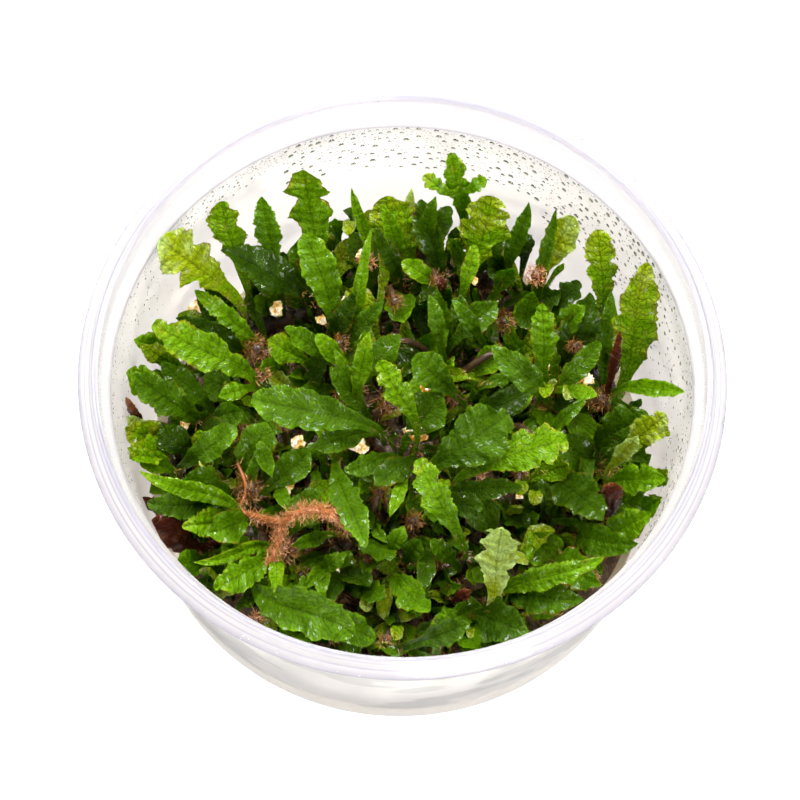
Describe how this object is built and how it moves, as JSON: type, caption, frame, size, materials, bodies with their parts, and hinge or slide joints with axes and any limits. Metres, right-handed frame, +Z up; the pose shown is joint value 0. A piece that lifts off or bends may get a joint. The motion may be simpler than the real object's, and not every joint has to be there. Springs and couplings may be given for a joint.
{
  "type": "tissue culture broad leaf java fern in its cup",
  "caption": "Dense clump of young notched and strap-shaped fern fronds on a tangle of roots and culture gel, in a shallow round see-through cup with a drip rim.",
  "frame": {"origin": "middle of the cup's foot, on the surface it stands on", "axes": "+Z up along the cup's axis; -Y is the front, from which the picture looks down"},
  "size_m": [0.102, 0.102, 0.0489],
  "materials": {
    "cup_plastic": "clear moulded polypropylene, smooth, with fine condensation inside",
    "culture_gel": "wet, cloudy cream jelly",
    "root_tangle": "wet, matted brown roots and hairs",
    "rhizome_skin": "dark brown, wet, with fine brown hairs; its young fronds are green",
    "frond_tissue": "puckered green leaf, half gloss, wet in places, lit through where thin",
    "dead_tissue": "dead brown leaf, wet and shrunk"
  },
  "bodies": {
    "root": {"cup": "cup_plastic", "culture_gel": "culture_gel", "root_mat": "root_tangle", "rhizome_01": "rhizome_skin", "rhizome_02": "rhizome_skin", "rhizome_03": "rhizome_skin", "rhizome_04": "rhizome_skin", "rhizome_05": "rhizome_skin", "rhizome_06": "rhizome_skin", "rhizome_07": "rhizome_skin", "rhizome_08": "rhizome_skin", "rhizome_09": "rhizome_skin", "rhizome_10": "rhizome_skin", "frond_01": "frond_tissue", "frond_02": "frond_tissue", "frond_03": "frond_tissue", "frond_04": "frond_tissue", "frond_05": "frond_tissue", "frond_06": "frond_tissue", "frond_07": "frond_tissue", "frond_08": "frond_tissue", "frond_09": "frond_tissue", "frond_10": "frond_tissue", "frond_11": "frond_tissue", "frond_12": "frond_tissue", "frond_13": "frond_tissue", "frond_14": "frond_tissue", "frond_15": "frond_tissue", "frond_16": "frond_tissue", "frond_17": "frond_tissue", "frond_18": "frond_tissue", "frond_19": "frond_tissue", "frond_20": "frond_tissue", "frond_21": "frond_tissue", "frond_22": "frond_tissue", "frond_23": "frond_tissue", "frond_24": "frond_tissue", "frond_25": "frond_tissue", "frond_26": "frond_tissue", "frond_27": "frond_tissue", "frond_28": "frond_tissue", "frond_29": "frond_tissue", "frond_30": "frond_tissue", "frond_31": "frond_tissue", "frond_32": "frond_tissue", "frond_33": "frond_tissue", "frond_34": "frond_tissue", "frond_35": "frond_tissue", "frond_36": "frond_tissue", "frond_37": "frond_tissue", "frond_38": "frond_tissue", "frond_39": "frond_tissue", "frond_40": "frond_tissue", "frond_41": "frond_tissue", "frond_42": "frond_tissue", "frond_43": "frond_tissue", "frond_44": "frond_tissue", "frond_45": "frond_tissue", "dead_frond_1": "dead_tissue", "dead_frond_2": "dead_tissue"}
  },
  "joints": []
}
